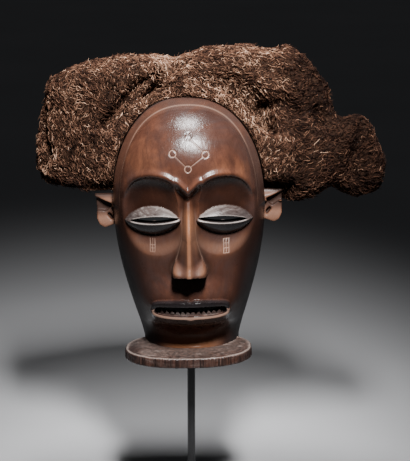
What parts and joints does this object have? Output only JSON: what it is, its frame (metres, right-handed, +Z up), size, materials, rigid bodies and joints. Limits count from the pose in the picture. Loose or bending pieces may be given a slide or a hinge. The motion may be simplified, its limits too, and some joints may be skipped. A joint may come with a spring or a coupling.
{
  "type": "carved chihongo mask",
  "caption": "Carved wooden face mask with slit eyes, a ledge-like chin collar and a lopsided wig of looped plant fibre, held up on a thin black rod with a plain foot.",
  "frame": {"origin": "middle of the foot's underside, on the rod's axis", "axes": "+Z up along the rod, the face looks along -Y, +X is to the right of a person who looks at the face"},
  "size_m": [0.3237, 0.1918, 0.4194],
  "materials": {
    "carved_wood": "dark red-brown, oiled and rubbed to a soft gloss",
    "plant_fibre": "matte dusty brown looped fibre",
    "black_metal": "satin black"
  },
  "bodies": {
    "root": {"mask": "carved_wood", "headdress": "plant_fibre", "stand_rod": "black_metal", "stand_foot": "black_metal"}
  },
  "joints": []
}
